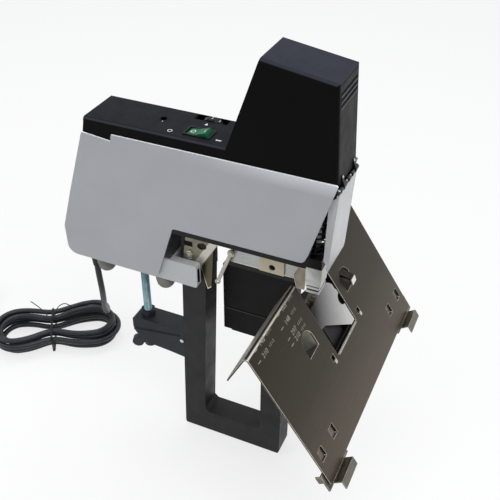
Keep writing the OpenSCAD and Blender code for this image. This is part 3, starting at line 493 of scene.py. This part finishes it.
# Small rounded edges on the CAD solids, by modifiers alone, in millimetres
EDGES = {
    "near_cover": 0.55, "far_cover": 0.55, "rear_panel": 0.3, "base_pan": 0.8, "rocker_bezel": 0.4,
    "rocker": 0.3, "throat_frame": 1.2, "clamp_bracket": 0.9, "drive_housing": 0.8, "housing_base": 0.6,
    "table_plate": 0.25, "near_stop": 0.25, "far_stop": 0.25, "nose_block": 0.3, "anvil": 0.3,
    "staple_pusher": 0.4, "latch_plate": 0.4, "latch_link": 0.25, "clamp_knob": 0.8, "pressure_pad": 0.5,
    "rubber_feet": 0.6, "plug": 0.8, "chassis": 0.3, "magazine_rail": 0.2, "table_hook": 0.3,
    "finger_guard": 0.3, "clamp_nut": 0.4, "guard_lugs": 0.3,
}
SHARP_ANGLE = math.radians(28)

# Sheet pieces whose cut edges get a painted highlight, brighter than their faces
BRIGHT_EDGES = ("table_plate", "near_stop", "far_stop", "latch_plate", "magazine_rail")


def soften(obj, width):
    """Rounds the edges of a node and evens out the shading of its flat faces."""
    weld = obj.modifiers.new("weld", "WELD")
    weld.merge_threshold = 0.00001
    bevel = obj.modifiers.new("bevel", "BEVEL")
    bevel.width = width * MM
    bevel.segments = 2
    bevel.limit_method = "ANGLE"
    bevel.angle_limit = SHARP_ANGLE
    bevel.use_clamp_overlap = True
    even = obj.modifiers.new("even_shading", "WEIGHTED_NORMAL")
    even.weight = 100
    even.keep_sharp = True
    return bevel


for n, w in EDGES.items():
    rounded = soften(nodes[n], w)
    if n in BRIGHT_EDGES:
        nodes[n].data.materials.append(EDGE_HIGHLIGHT)
        rounded.material = 1


# Mains cord: from the strain relief down to the floor, through the hank to the plug

CORD_D = 6.2
HANK_AT, HANK_TURN = (-251.5, 42.5), math.radians(32.4)
HANK_HALF, HANK_WIDE, HANK_WAIST = 65, 21.5, 10
WAIST_AT, WAIST_LEN = -4, 22
LANE, LAYER, LAYER_LOW = CORD_D + 1.8, CORD_D + 0.8, CORD_D / 2 + 1.5
TOP_LAYER = 3
HANK_START, HANK_TURNS, HANK_ARC = 0.325, 5.15, 0.26
STEPS_A_TURN = 72
CORD_POINTS = [(-146, 0, 176), (-146, 0, 168), (-146, 1, 154), (-147.5, 4, 138), (-155, 14, 114),
               (-168, 31, 88), (-184, 55, 58), (-197, 74, 41.5), (-206.1, 85.3, 33.6),
               (-213.9, 91.5, 30), (-223.7, 93.8, 27.4), (-233, 91.2, 26)]
TAIL_POINTS = [(-58, 31.6, 4.6), (-70, 37.5, 5.2), (-79.5, 47, 6.4), (-86, 59, 7.4), (-90, 70, 7.6)]


def hank_side(u, q):
    """Half width of the hank at a place along it, drawn in at the tie."""
    pinch = math.exp(-((u - WAIST_AT) / WAIST_LEN) ** 2)
    return HANK_WIDE + q + (HANK_WAIST - HANK_WIDE + 0.35 * q) * pinch


def hank_along(f, q):
    """Place along one turn: two round ends and two long sides."""
    w, flat = HANK_WIDE + q, HANK_HALF - HANK_WIDE
    end = 1 if f < 0.5 else -1
    f %= 0.5
    if f < HANK_ARC:
        a = math.pi * (f / HANK_ARC - 0.5)
        return end * (flat + w * math.cos(a)), end * math.sin(a)
    return end * flat * (1 - 2 * (f - HANK_ARC) / (0.5 - HANK_ARC)), end


def hank_point(t):
    """Place after t turns: one turn across a layer's two lanes, then half a turn down to the next."""
    k = math.floor(t / 1.5)
    f = t - 1.5 * k
    level = k + max(0, (f - 1) / 0.5)
    step = min(f, 1)
    q = LANE * (1 - step if k % 2 == 0 else step)
    u, share = hank_along((HANK_START + t) % 1, q)
    return Vector((u, share * hank_side(u, q), LAYER_LOW + LAYER * (TOP_LAYER - level)))


def to_floor(p):
    """A place in the hank's own frame, as it lies on the floor."""
    c, s = math.cos(HANK_TURN), math.sin(HANK_TURN)
    return Vector((HANK_AT[0] + p[0] * c - p[1] * s, HANK_AT[1] + p[0] * s + p[1] * c, p[2]))


def smooth(points, k):
    """Points of a smooth route through the given ones, with k steps between each pair."""
    p = [Vector(q) for q in points]
    out = []
    for i in range(len(p) - 1):
        a, b, c, d = p[max(i - 1, 0)], p[i], p[i + 1], p[min(i + 2, len(p) - 1)]
        for j in range(k):
            u = j / k
            out.append(b + u * (c - a) / 2 + u * u * (a - 2.5 * b + 2 * c - d / 2)
                       + u * u * u * (1.5 * (b - c) + (d - a) / 2))
    return out + [p[-1]]


def tube(name, points, radius, mat, sides, cyclic=False):
    """A round wire or cord along points in millimetres."""
    data = bpy.data.curves.new(name, "CURVE")
    data.dimensions = "3D"
    data.bevel_depth = radius * MM
    data.bevel_resolution = sides
    data.use_fill_caps = True
    spline = data.splines.new("POLY")
    spline.points.add(len(points) - 1)
    for point, p in zip(spline.points, points):
        point.co = (p[0] * MM, p[1] * MM, p[2] * MM, 1)
    spline.use_cyclic_u = cyclic
    data.materials.append(mat)
    return link(bpy.data.objects.new(name, data))


def make_cord():
    count = round(HANK_TURNS * STEPS_A_TURN)
    loops = [hank_point(HANK_TURNS * i / count) for i in range(count + 1)]
    ahead = (loops[0] - loops[1]).normalized()
    behind = (loops[-1] - loops[-2]).normalized()
    first, last = loops[0] + CORD_D * ahead, loops[-1] + CORD_D * behind
    lead = smooth(CORD_POINTS + [to_floor(first + CORD_D * ahead)], 3)
    hank = [to_floor(p) for p in [first] + loops + [last]]
    tail = [to_floor(p) for p in smooth([last, last + CORD_D * behind] + TAIL_POINTS, 3)]
    route = lead + hank + tail[1:]
    cord = tube("mains_cord", route, CORD_D / 2, CORD, 5)
    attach(cord, "body")
    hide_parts("cord", "cord_hank", "cord_tail")
    return cord, route


cord, cord_route = make_cord()


# Small pieces: helpers, with sizes in millimetres

SUNK = -0.02
PRINT = 0.06


def place_on(origin, right, up):
    """A frame with its X along right, its Y along up and its Z out of the surface."""
    right, up = Vector(right).normalized(), Vector(up).normalized()
    out = Matrix((right, up, right.cross(up))).transposed().to_4x4()
    out.translation = mm(*origin)
    return out


def near_face(x, y, z):
    """A place on a face that looks towards the near side: right along +X, up along +Z."""
    return place_on((x, y, z), (1, 0, 0), (0, 0, 1))


def arc(r, step, first, last, x=0, y=0):
    """Points on a circle round x, y, step degrees apart, for the counts from first to before last."""
    angles = [math.radians(step * i) for i in range(first, last)]
    return [(x + r * math.cos(a), y + r * math.sin(a)) for a in angles]


def keep(mesh, name, mat, body, place=None):
    """Makes a piece from a mesh and lets it ride on a body."""
    if place is not None:
        mesh.transform(place)
    mesh.materials.append(mat)
    obj = link(bpy.data.objects.new(name, mesh))
    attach(obj, body)
    return obj


def sheet(name, outline, thick, mat, body, place):
    """A thin plate with the given outline, standing thick above the place."""
    n = len(outline)
    sides = [[i, (i + 1) % n, n + (i + 1) % n, n + i] for i in range(n)]
    mesh = bpy.data.meshes.new(name)
    mesh.from_pydata([(x * MM, y * MM, z * MM) for z in (SUNK, thick) for x, y in outline], [],
                     [list(range(n))[::-1], list(range(n, 2 * n))] + sides)
    return keep(mesh, name, mat, body, place)


def bar(name, x, y, long, wide, mat, body, place, thick=PRINT):
    a, b = long / 2, wide / 2
    corners = [(x - a, y - b), (x + a, y - b), (x + a, y + b), (x - a, y + b)]
    return sheet(name, corners, thick, mat, body, place)


def disc(name, r, thick, mat, body, place):
    return sheet(name, arc(r, 15, 0, 24), thick, mat, body, place)


def block(name, x, y, z, mat, body, place):
    """A plain box between two values on each axis of the place."""
    corners = ((x[0], y[0]), (x[1], y[0]), (x[1], y[1]), (x[0], y[1]))
    mesh = bpy.data.meshes.new(name)
    mesh.from_pydata([(a * MM, b * MM, c * MM) for c in z for a, b in corners], [],
                     [[3, 2, 1, 0], [4, 5, 6, 7], [0, 1, 5, 4], [1, 2, 6, 5], [2, 3, 7, 6], [3, 0, 4, 7]])
    return keep(mesh, name, mat, body, place)


def tube_faces(rows, sides):
    """Faces between rows of points that each run once round, with the same count of points."""
    faces = []
    for i in range(rows - 1):
        for k in range(sides):
            a, b = i * sides + k, i * sides + (k + 1) % sides
            faces.append([a, b, b + sides, a + sides])
    return faces


def ring(name, outer, inner, mat, body, place):
    n = 40
    section = ((outer, SUNK), (outer, PRINT), (inner, PRINT), (inner, SUNK))
    mesh = bpy.data.meshes.new(name)
    points = [(r * math.cos(2 * math.pi * i / n) * MM, r * math.sin(2 * math.pi * i / n) * MM, z * MM)
              for r, z in section for i in range(n)]
    faces = [[p % len(points) for p in face] for face in tube_faces(len(section) + 1, n)]
    mesh.from_pydata(points, [], faces)
    return keep(mesh, name, mat, body, place)


def numeral(name, text, size, mat, body, place):
    """A plain number, standing on the place and centred on it."""
    data = bpy.data.curves.new(name, "FONT")
    data.body = text
    data.size = size * MM
    data.extrude = 0.05 * MM
    data.align_x = "CENTER"
    data.align_y = "CENTER"
    maker = bpy.data.objects.new(name, data)
    mesh = bpy.data.meshes.new_from_object(maker)
    bpy.data.objects.remove(maker)
    mesh.materials.clear()
    return keep(mesh, name, mat, body, place)


# Marks on the control panel, the rocker and the dial

PANEL_Z = 354.3
TRIMMER = (-58.8, 1.3)
ROCKER = (-20, -9, 351)
DIAL = (-21, 16, 341.8)
DIAL_R = 13.5


def on_panel(x, y, z=PANEL_Z):
    """A level place on the control panel: right along +X, up along +Y."""
    return place_on((x, y, z), (1, 0, 0), (0, 1, 0))


def panel_marks():
    flat = on_panel(0, 0)
    ring("mark_ring", 2.1, 1.5, WHITE, "body", on_panel(-43.8, -15.2))
    bar("mark_dash", -0.6, -14.2, 4.8, 1.5, WHITE, "body", flat)
    sheet("mark_triangle", [(-23, 5.2), (-19.8, 5.2), (-21.4, 8.4)], PRINT, WHITE, "body", flat)
    bar("mark_pointer", -57.2, -3.2, 0.9, 0.9, WHITE, "body", flat, 0.1)
    ring("trimmer_rim", 5.0, 3.2, HOLLOW, "body", on_panel(*TRIMMER))
    hole = on_panel(*TRIMMER, PANEL_Z - 3.4)
    sheet("trimmer", arc(2.9, 10, 0, 36), 0.6, DARK_STEEL, "body", hole)
    bar("trimmer_slot", 0, 0, 4.6, 0.9, HOLLOW, "body", hole, 0.64)


def rocker_marks():
    x, y, z = ROCKER
    low, high = math.radians(6.2), math.radians(18.7)
    ring("mark_off", 2.3, 1.7, WHITE, "rocker_switch",
         place_on((x - 5.6, y, z + 3.7), (math.cos(low), 0, math.sin(low)), (0, 1, 0)))
    bar("mark_on", 0, 0, 0.6, 4.2, WHITE, "rocker_switch",
        place_on((x + 5.4, y, z + 6.37), (math.cos(high), 0, math.sin(high)), (0, 1, 0)))


def dial_marks():
    for i in range(9):
        a = math.radians(28 * (i - 1))
        out = Vector((math.sin(a), 0, math.cos(a)))
        spot = Vector((DIAL[0], DIAL[1] + 1.1, DIAL[2])) + DIAL_R * out
        rim = place_on(spot, (math.cos(a), 0, -math.sin(a)), (0, 1, 0))
        numeral(f"dial_{i + 1}", str(i + 1), 4.0, WHITE, "dial", rim)


panel_marks()
rocker_marks()
dial_marks()


# Table: stamped scale on its near half, lips of the cut-out with a painted highlight along its edge, tab and
# leaf of the grip holes with painted shade on the leaf, clips

SLOPE = math.radians(55.7)
RIDGE = (70.7, 0, 240)
TABLE_T = 1.5
CUT_END = 80.2


def on_table(s, y):
    """A place on the table's upper face, s down from the ridge: right along +Y, up towards the ridge."""
    spot = (RIDGE[0] + s * math.cos(SLOPE), y, RIDGE[2] - s * math.sin(SLOPE))
    return place_on(spot, (0, 1, 0), (-math.cos(SLOPE), 0, math.sin(SLOPE)))


def table_marks():
    rows = ((5, -93, "148"), (5, -48, "105"), (13.5, -97, "210"),
            (15, -53, "148"), (26, -53, "297"), (32, -53, "210"))
    for i, (s, y, number) in enumerate(rows):
        bar(f"dash_{i}", 0, 0, 4.6, 0.7, STAMP, "table", on_table(s, y - 14))
        numeral(f"scale_{i}", number, 6.2, STAMP, "table", on_table(s, y - 3))
        for j in range(4):
            tall = 3.2 if j % 2 else 2.2
            bar(f"tick_{i}_{j}", 0, 0, 0.5, tall, STAMP, "table", on_table(s, y + 6 + 2.4 * j))


def table_details():
    flat = on_table(0, 0)
    below = (-6.5, -1.4)
    block("cut_flange", (27.55, 28.3), (-79, -10), below, HOLLOW, "table", flat)
    block("cut_end", (-22, 27.4), (-79.8, -79.05), below, HOLLOW, "table", flat)
    # Painted shade: a dark sheet under the far grip hole, on its leaf
    far_hole = [(38, -55), (58, -55), (58, -45)] + arc(10, 10, 1, 18, 48, -45) + [(38, -45)]
    sheet("leaf_shade", far_hole, 0.02, LEAF_SHADE, "table", flat @ Matrix.Translation(mm(0, 0, -1.48)))
    bend = math.radians(60)
    c, s = math.cos(bend), math.sin(bend)
    down = Matrix(((-c, 0, s), (0, 1, 0), (-s, 0, -c))).to_4x4()
    tab = [(0, -55), (13, -55), (17, -51), (17, -41), (13, -36.5), (0, -36.5)]
    sheet("near_tab", tab, 0.8, TAB, "table", flat @ Matrix.Translation(mm(-38.2, 0, -TABLE_T)) @ down)
    for side, y in (("near", -31.4), ("far", 38)):
        block(f"{side}_clip", (y - 3.2, y + 3.2), (-79.2, -72.8), (-2.1, -TABLE_T), HOLLOW, "table", flat)
        bar(f"{side}_clip_tab", 0, 0, 3.6, 3.4, EDGE_HIGHLIGHT, "table", on_table(80.6, y + 1), 0.35)
    # Painted highlight along the cut-out's edge
    bar("cut_lip_highlight", 0, 0, 47, 1.5, EDGE_HIGHLIGHT, "table", on_table(CUT_END, 2.3), 0.2)
    for i in range(15):
        bar(f"cut_notch_{i}", 0, 0, 0.9, 1.0, STOP, "table", on_table(CUT_END, -19.5 + 3.1 * i), 0.24)


table_marks()
table_details()


# Nose, magazine and latch: shadow gaps, guide cheek, screw heads, and painted highlights on the rail's lip
# and the leaf's edge

LATCH_Y = -13.3


def nose_details():
    for i, (low, high) in enumerate(((223.7, 225.7), (227.9, 229.5))):
        mid, tall = (low + high) / 2, high - low - 0.1
        bar(f"nose_gap_{i}", 0, 0, 10.4, tall, HOLLOW, "body", near_face(83.2, -7.2, mid), 0.05)
        bar(f"nose_front_gap_{i}", 0, 0, 14.2, tall, HOLLOW, "body",
            place_on((88.5, 0, mid), (0, 1, 0), (0, 0, 1)), 0.05)
    cheek = [(-0.6, 222.8), (0, 229.6), (0, 245.2), (-6.9, 245.2), (-10.8, 236.5), (-7.4, 222.8)]
    sheet("guide_cheek", cheek, 0.08, GUIDE, "body", near_face(76, -8, 0))
    disc("pusher_hole", 2.95, 0.2, HOLLOW, "pusher", near_face(45.6, -7.6, 238))
    # Painted highlight along the rail's lip
    bar("rail_lip_highlight", 0, 0, 54, 0.8, EDGE_HIGHLIGHT, "body", near_face(35, -7, 231.8), 0.05)


def latch_details():
    for i, z in enumerate((234.1, 229.3)):
        head = near_face(-32.4, LATCH_Y, z)
        disc(f"latch_screw_{i}", 2.5, 1.2, LINK, "body", head)
        bar(f"latch_screw_slot_{i}", 0, 0, 3.6, 0.7, HOLLOW, "body", head, 1.25)
    bar("latch_slot", 0, 0, 8.5, 5.4, HOLLOW, "body", near_face(-33.5, LATCH_Y, 243.4), 0.05)
    leaf = Matrix.Translation(mm(-21.5, -11.8, 221.5)) @ Matrix.Rotation(math.radians(-58.7), 4, "Y")
    leaf = leaf @ Matrix.Rotation(math.radians(-12), 4, "X") @ near_face(0, -1.5, 0)
    edge = [(0, 0.4), (-13.5, -18.2), (-8.4, -19.8), (-8.1, -18.9), (-12.3, -17.6), (1.1, 0.4)]
    # Painted highlight along the latch leaf's edge
    sheet("latch_edge_highlight", edge, 0.12, EDGE_HIGHLIGHT, "body", leaf)


nose_details()
latch_details()


# Painted shade in the base pan's pockets, painted highlights on the housing's seam and the louvre lips, a
# painted shadow line under the tower's top edge, rivets, and a plate at the tower's foot

def body_details():
    # Painted shade: dark sheets on the inner walls of the base pan's pockets
    bar("near_pocket_shade", 0, 0, 22.4, 17, HOLLOW, "body", near_face(-33.4, -15.4, 212.8))
    bar("far_pocket_shade", 0, 0, 22.4, 17, HOLLOW, "body", place_on((-33.4, 15.4, 212.8), (-1, 0, 0), (0, 0, 1)))
    # Painted highlight along the housing's seam
    bar("seam_highlight", 0, 0, 46, 0.9, LIP_HIGHLIGHT, "body", near_face(12.5, 11.8, 158.2))
    lean = math.radians(3)
    up = (-math.sin(lean), 0, math.cos(lean))
    # A painted shadow line under the tower's top edge, then painted highlights on the louvre lips below it
    for i, z in enumerate((421.6, 412.4, 407.8, 403.2)):
        front = place_on((102.8 - (z - 341) * math.tan(lean), 0, z), (0, 1, 0), up)
        bar(f"louvre_lip_{i}", 0, 0, 37, 1.4, LIP_HIGHLIGHT if i else HOLLOW, "body", front, 0.3 if i else 0.05)
    for side, y in (("near", -14), ("far", 14)):
        lug = place_on((103.4, y, 346.5), (0, 1, 0), (-0.375, 0, 0.927))
        disc(f"{side}_rivet", 1.2, 0.5, CHROME, "body", lug)


def tower_foot():
    """Closes the opening at the foot of the tower's rear slope."""
    foot, high, half, edge = 10.15, 17, 21.6, 1.4
    back = high * math.tan(math.radians(19.4))
    outline = [(foot - edge, PANEL_Z - edge), (foot + edge, PANEL_Z - edge),
               (foot + 1.6 + back, PANEL_Z + high - 0.6), (foot + back, PANEL_Z + high),
               (foot, PANEL_Z + 0.05), (foot - edge, PANEL_Z + 0.05)]
    sheet("tower_foot", outline, 2 * half, MOULD, "body", near_face(0, half, 0))


body_details()
tower_foot()


# Upper lip of the saddle's cap, curved as the cap is

def saddle_lip():
    crown, reach, thick = 200, 26.6, 1.2
    outer = smooth([(-16, 34), (-9, 32), (-1, 30), (7, 28.8), (14, 28.6), (20, 30.6), (25, 36)], 4)
    points = []
    for y, s in outer:
        inner = 34 + max(0, y - 14) * 3 / 8 + max(0, y - 22) * 0.93
        top = math.sqrt(crown ** 2 - (y - reach) ** 2) - crown - 0.8
        section = ((s, 0), (inner, 0), (inner, thick), (s, thick))
        points += [(y * MM, -a * MM, (top - b) * MM) for a, b in section]
    n = len(points)
    mesh = bpy.data.meshes.new("saddle_lip")
    mesh.from_pydata(points, [], tube_faces(n // 4, 4) + [[3, 2, 1, 0], [n - 4, n - 3, n - 2, n - 1]])
    keep(mesh, "saddle_lip", CAP, "body", on_table(0, 0))


saddle_lip()


# Clamp screw with its thread

def clamp_thread():
    crest, root, pitch, steps = 4.0, 3.42, 1.25, 24
    low, high, middle_x = 94, 196.5, -91
    count = int((high - low) / pitch) * steps
    points, faces = [], []
    for i in range(count + 1):
        a, z = 2 * math.pi * i / steps, low + pitch * i / steps
        for r, rise in ((root, 0), (crest, pitch / 2)):
            points.append(((middle_x + r * math.cos(a)) * MM, r * math.sin(a) * MM, min(z + rise, high) * MM))
    for i in range(count):
        faces.append([2 * i, 2 * i + 2, 2 * i + 3, 2 * i + 1])
        if i + steps < count:
            faces.append([2 * i + 1, 2 * i + 3, 2 * (i + steps) + 2, 2 * (i + steps)])
    foot_loop = [2 * i for i in range(steps + 1)] + [1]
    head_loop = [2 * (count - i) + 1 for i in range(steps + 1)] + [2 * count]
    for z, loop in ((low, foot_loop), (high, head_loop)):
        middle = len(points)
        points.append((middle_x * MM, 0, z * MM))
        faces += [[q, p, middle] for p, q in zip(loop, loop[1:] + loop[:1])]
    mesh = bpy.data.meshes.new("screw_thread")
    mesh.from_pydata(points, [], faces)
    screw = keep(mesh, "screw_thread", ZINC, "screw")
    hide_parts("clamp_screw")


clamp_thread()


# Wire tie round the hank, with its two loose ends

WIRE, WIRE_SIDES = 0.6, 3


def make_tie():
    half = HANK_WAIST + 1.35 * LANE + CORD_D / 2 + 0.7
    low, high = 0.8, LAYER_LOW + TOP_LAYER * LAYER + CORD_D / 2 + 0.7
    r = 4
    left, right, under, over = r - half, half - r, low + r, high - r
    band = []
    for v, z, quarter in ((right, over, 0), (left, over, 1), (left, under, 2), (right, under, 3)):
        band += arc(r, 15, 6 * quarter, 6 * quarter + 7, v, z)
    pieces = []
    for i in range(2):
        turn = [to_floor((WAIST_AT + 1.3 * i - 0.65, v, z)) for v, z in band]
        pieces.append(tube(f"tie_band_{i}", turn, WIRE, BLACK_RUBBER, WIRE_SIDES, True))
    top = high + 0.9
    knot = [(WAIST_AT + 1.3 * math.cos(k), -4 + 0.5 * k, top + 0.9 * math.sin(k)) for k in range(16)]
    pieces.append(tube("tie_knot", [to_floor(p) for p in smooth(knot, 3)], WIRE, BLACK_RUBBER, WIRE_SIDES))
    end_a = [(-4, -4, top), (-10, 4, top + 6), (-18, 13, top + 10), (-28, 21, top + 14)]
    end_b = [(-4, 3.5, top), (4, 12, top + 9), (12, 16, top + 10), (21, 14, top + 5)]
    for name, end in (("tie_end_a", end_a), ("tie_end_b", end_b)):
        pieces.append(tube(name, [to_floor(p) for p in smooth(end, 5)], 0.55, BLACK_RUBBER, WIRE_SIDES))
    for piece in pieces:
        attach(piece, "body")
    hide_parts("cord_tie")


make_tie()


# Stage: pale floor, white surround, soft studio light

FLOOR_HALF, FLOOR_Z = 6, -0.0002
FLOOR_GLOW = 0.72


def seen_directly(tree):
    """One for rays from the camera, off metal and through clear plastic, else nought."""
    path = tree.nodes.new("ShaderNodeLightPath")
    seen = path.outputs["Is Camera Ray"]
    for kind in ("Is Glossy Ray", "Is Transmission Ray"):
        either = tree.nodes.new("ShaderNodeMath")
        either.operation = "MAXIMUM"
        tree.links.new(seen, either.inputs[0])
        tree.links.new(path.outputs[kind], either.inputs[1])
        seen = either.outputs["Value"]
    return seen


def shader(tree, kind, color, strength=None):
    node = tree.nodes.new(kind)
    node.inputs["Color"].default_value = color
    if strength is not None:
        node.inputs["Strength"].default_value = strength
    return node.outputs[0]


def show(tree, kind, share, lit, seen):
    """Sends two shaders, mixed by a share, to a new output."""
    mix = tree.nodes.new("ShaderNodeMixShader")
    tree.links.new(share, mix.inputs["Fac"])
    tree.links.new(lit, mix.inputs[1])
    tree.links.new(seen, mix.inputs[2])
    tree.links.new(mix.outputs[0], tree.nodes.new(kind).inputs["Surface"])


def make_floor():
    half = FLOOR_HALF
    corners = [(-half, -half, 0), (half, -half, 0), (half, half, 0), (-half, half, 0)]
    data = bpy.data.meshes.new("floor")
    data.from_pydata(corners, [], [[0, 1, 2, 3]])
    floor = link(bpy.data.objects.new("floor", data))
    floor.location.z = FLOOR_Z
    mat = bpy.data.materials.new("floor")
    mat.use_nodes = True
    tree = mat.node_tree
    tree.nodes.clear()
    share = tree.nodes.new("ShaderNodeMath")
    share.operation = "MULTIPLY"
    share.inputs[1].default_value = FLOOR_GLOW
    tree.links.new(seen_directly(tree), share.inputs[0])
    matt = shader(tree, "ShaderNodeBsdfDiffuse", (0.86, 0.86, 0.86, 1))
    glow = shader(tree, "ShaderNodeEmission", (1, 1, 1, 1))
    show(tree, "ShaderNodeOutputMaterial", share.outputs["Value"], matt, glow)
    data.materials.append(mat)


def make_surround():
    world = bpy.data.worlds.new("surround")
    scene.world = world
    world.use_nodes = True
    tree = world.node_tree
    tree.nodes.clear()
    soft = shader(tree, "ShaderNodeBackground", (0.95, 0.97, 1.0, 1), 0.55)
    white = shader(tree, "ShaderNodeBackground", (1, 1, 1, 1), 1.0)
    show(tree, "ShaderNodeOutputWorld", seen_directly(tree), soft, white)


def make_lamps():
    aim = Vector((0, 0, 0.2))
    for name, place, size, power in (("key", (0.9, -0.7, 1.7), 1.0, 16), ("fill", (-1.4, -1.0, 1.2), 1.4, 8),
                                     ("top", (-0.2, 0.5, 1.9), 1.4, 12)):
        data = bpy.data.lights.new(name, "AREA")
        data.energy = power
        data.size = size
        lamp = link(bpy.data.objects.new(name, data))
        lamp.location = place
        lamp.rotation_euler = (aim - Vector(place)).to_track_quat("-Z", "Y").to_euler()


make_floor()
make_surround()
make_lamps()
scene.view_settings.view_transform = "Standard"
